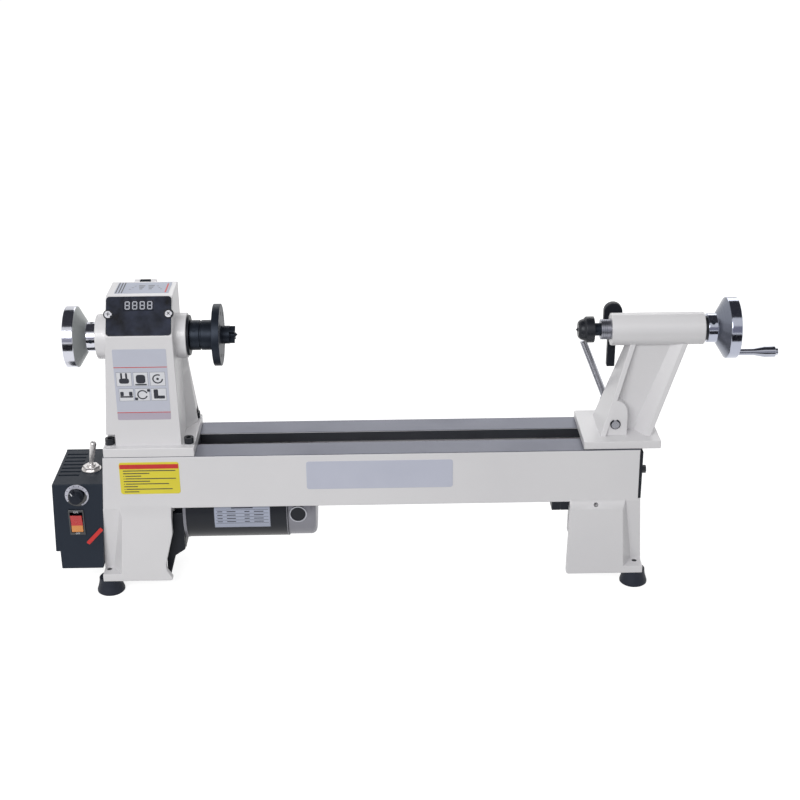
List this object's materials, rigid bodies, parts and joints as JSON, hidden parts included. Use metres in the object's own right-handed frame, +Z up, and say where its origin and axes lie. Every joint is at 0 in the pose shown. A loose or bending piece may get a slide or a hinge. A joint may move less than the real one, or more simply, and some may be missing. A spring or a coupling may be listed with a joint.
{
  "type": "benchtop wood lathe",
  "caption": "Benchtop bead-turning wood lathe: twin-way bed on legs, variable-speed headstock with faceplate and spur centre, cam-clamped tailstock with crank handwheel.",
  "frame": {"origin": "on the bench, below the middle of the bed and the spindle line", "axes": "+X along the bed from headstock to tailstock, +Y away from the user, +Z up"},
  "size_m": [0.9786, 0.1403, 0.4226],
  "materials": {
    "white_paint": "satin cream-white powder coat on castings",
    "black_paint": "satin black paint or black oxide on steel",
    "dark_steel": "dark plain steel",
    "bright_steel": "ground bright steel",
    "polished_aluminium": "turned and polished aluminium",
    "chrome": "bright chrome",
    "rubber": "moulded black rubber",
    "belt": "flexible rubber belt",
    "dark_plastic": "textured dark grey plastic",
    "gloss_black": "glossy black plastic",
    "grey_plate": "pale lilac-grey printed plate",
    "readout": "grey display window",
    "red_plastic": "red plastic",
    "motor_black": "satin black motor paint",
    "motor_grey": "light grey painted end cap"
  },
  "bodies": {
    "machine_frame": {"bed_casting": "white_paint", "left_leg": "white_paint", "right_leg": "white_paint", "bed_end_plate": "black_paint", "bed_bolts": "black_paint", "rubber_feet": "rubber", "foot_studs": "bright_steel", "bed_tie_bar": "dark_steel", "headstock_casting": "white_paint", "headstock_screws": "black_paint", "headstock_washers": "bright_steel", "display_panel": "gloss_black", "digit_readout": "readout", "panel_screws": "bright_steel", "bearing_outer_rings": "bright_steel", "bearing_balls": "bright_steel", "bearing_cover": "black_paint", "drive_belt": "belt", "control_box": "dark_plastic", "control_box_cover": "dark_plastic", "dial_plate": "grey_plate", "potentiometer": "dark_plastic", "rocker_bezel": "gloss_black", "toggle_body": "chrome", "cable_gland": "gloss_black"},
    "spindle_set": {"spindle": "bright_steel", "spindle_pulley": "polished_aluminium", "outboard_handwheel": "polished_aluminium", "spindle_set_screws": "black_paint", "faceplate": "black_paint", "spur_centre": "black_paint", "bearing_inner_rings": "bright_steel"},
    "motor": {"motor_plate": "black_paint", "tension_lever": "black_paint", "motor_can": "motor_black", "motor_front_ring": "bright_steel", "motor_end_cap": "motor_grey", "brush_caps": "gloss_black"},
    "motor_rotor": {"motor_shaft": "dark_steel", "motor_pulley": "polished_aluminium"},
    "rear_door": {"belt_door": "black_paint", "door_knob": "gloss_black"},
    "speed_dial": {"speed_knob": "dark_plastic"},
    "power_switch": {"power_rocker": "red_plastic"},
    "direction_switch": {"toggle_lever": "chrome"},
    "tailstock": {"tailstock_casting": "white_paint"},
    "quill_set": {"quill": "bright_steel", "live_centre_shank": "black_paint"},
    "tail_wheel": {"lead_screw": "black_paint", "tail_handwheel": "polished_aluminium", "tail_set_screw": "black_paint", "crank_bolt": "chrome"},
    "crank_handle": {"crank_grip": "chrome"},
    "live_centre": {"live_centre_head": "black_paint"},
    "quill_lock": {"quill_lock_lever": "black_paint"},
    "cam_lever": {"cam_shaft": "dark_steel", "cam_lever_rod": "bright_steel"},
    "bed_clamp": {"clamp_bolt": "dark_steel", "clamp_plate": "dark_steel", "clamp_nut": "dark_steel"}
  },
  "joints": [
    {"name": "spindle_spin", "type": "hinge", "parent": "machine_frame", "child": "spindle_set", "pos_m": [-0.3, 0, 0.359], "axis": [1, 0, 0], "continuous": true},
    {"name": "motor_swing", "type": "hinge", "parent": "machine_frame", "child": "motor", "pos_m": [-0.2725, 0.054, 0.11], "axis": [-1, 0, 0], "range_deg": [0, 3.4], "deforming": ["drive_belt"]},
    {"name": "motor_spin", "type": "hinge", "parent": "motor", "child": "motor_rotor", "pos_m": [-0.3, 0, 0.11], "axis": [1, 0, 0], "continuous": true},
    {"name": "belt_door_hinge", "type": "hinge", "parent": "machine_frame", "child": "rear_door", "pos_m": [-0.3, 0.0454, 0.419], "axis": [1, 0, 0], "range_deg": [0, 100]},
    {"name": "speed_knob_turn", "type": "hinge", "parent": "machine_frame", "child": "speed_dial", "pos_m": [-0.399, -0.06, 0.152], "axis": [0, 1, 0], "range_deg": [-150, 150]},
    {"name": "power_rocker_tip", "type": "hinge", "parent": "machine_frame", "child": "power_switch", "pos_m": [-0.4026, -0.052, 0.1115], "axis": [-1, 0, 0], "range_deg": [0, 14]},
    {"name": "toggle_tip", "type": "hinge", "parent": "machine_frame", "child": "direction_switch", "pos_m": [-0.386, -0.0085, 0.174], "axis": [0, 1, 0], "range_deg": [-19, 0]},
    {"name": "tailstock_slide", "type": "slide", "parent": "machine_frame", "child": "tailstock", "axis": [1, 0, 0], "range_m": [-0.405, 0]},
    {"name": "tail_wheel_turn", "type": "hinge", "parent": "tailstock", "child": "tail_wheel", "pos_m": [0.46, 0, 0.359], "axis": [1, 0, 0], "range_deg": [-3240, 720]},
    {"name": "quill_slide", "type": "slide", "parent": "tailstock", "child": "quill_set", "axis": [1, 0, 0], "range_m": [-0.0361, 0.0081]},
    {"name": "live_centre_spin", "type": "hinge", "parent": "quill_set", "child": "live_centre", "pos_m": [0.29, 0, 0.359], "axis": [1, 0, 0], "continuous": true},
    {"name": "crank_grip_spin", "type": "hinge", "parent": "tail_wheel", "child": "crank_handle", "pos_m": [0.51, -0.01395, 0.32909], "axis": [1, 0, 0], "continuous": true},
    {"name": "quill_lock_turn", "type": "hinge", "parent": "tailstock", "child": "quill_lock", "pos_m": [0.328, 0.035, 0.359], "axis": [0, 1, 0], "range_deg": [-45, 45]},
    {"name": "cam_lever_turn", "type": "hinge", "parent": "tailstock", "child": "cam_lever", "pos_m": [0.328, 0, 0.234], "axis": [0, 1, 0], "range_deg": [0, 80]},
    {"name": "clamp_lift", "type": "slide", "parent": "tailstock", "child": "bed_clamp", "axis": [0, 0, 1], "range_m": [-0.00154, 0]}
  ],
  "couplings": [
    {"joint": "motor_spin", "follows": "spindle_spin", "ratio": 1.6667},
    {"joint": "quill_slide", "follows": "tail_wheel_turn", "m_per_rad": 0.00063662},
    {"joint": "cam_lever_turn", "follows": "clamp_lift", "rad_per_m": -909.09}
  ]
}
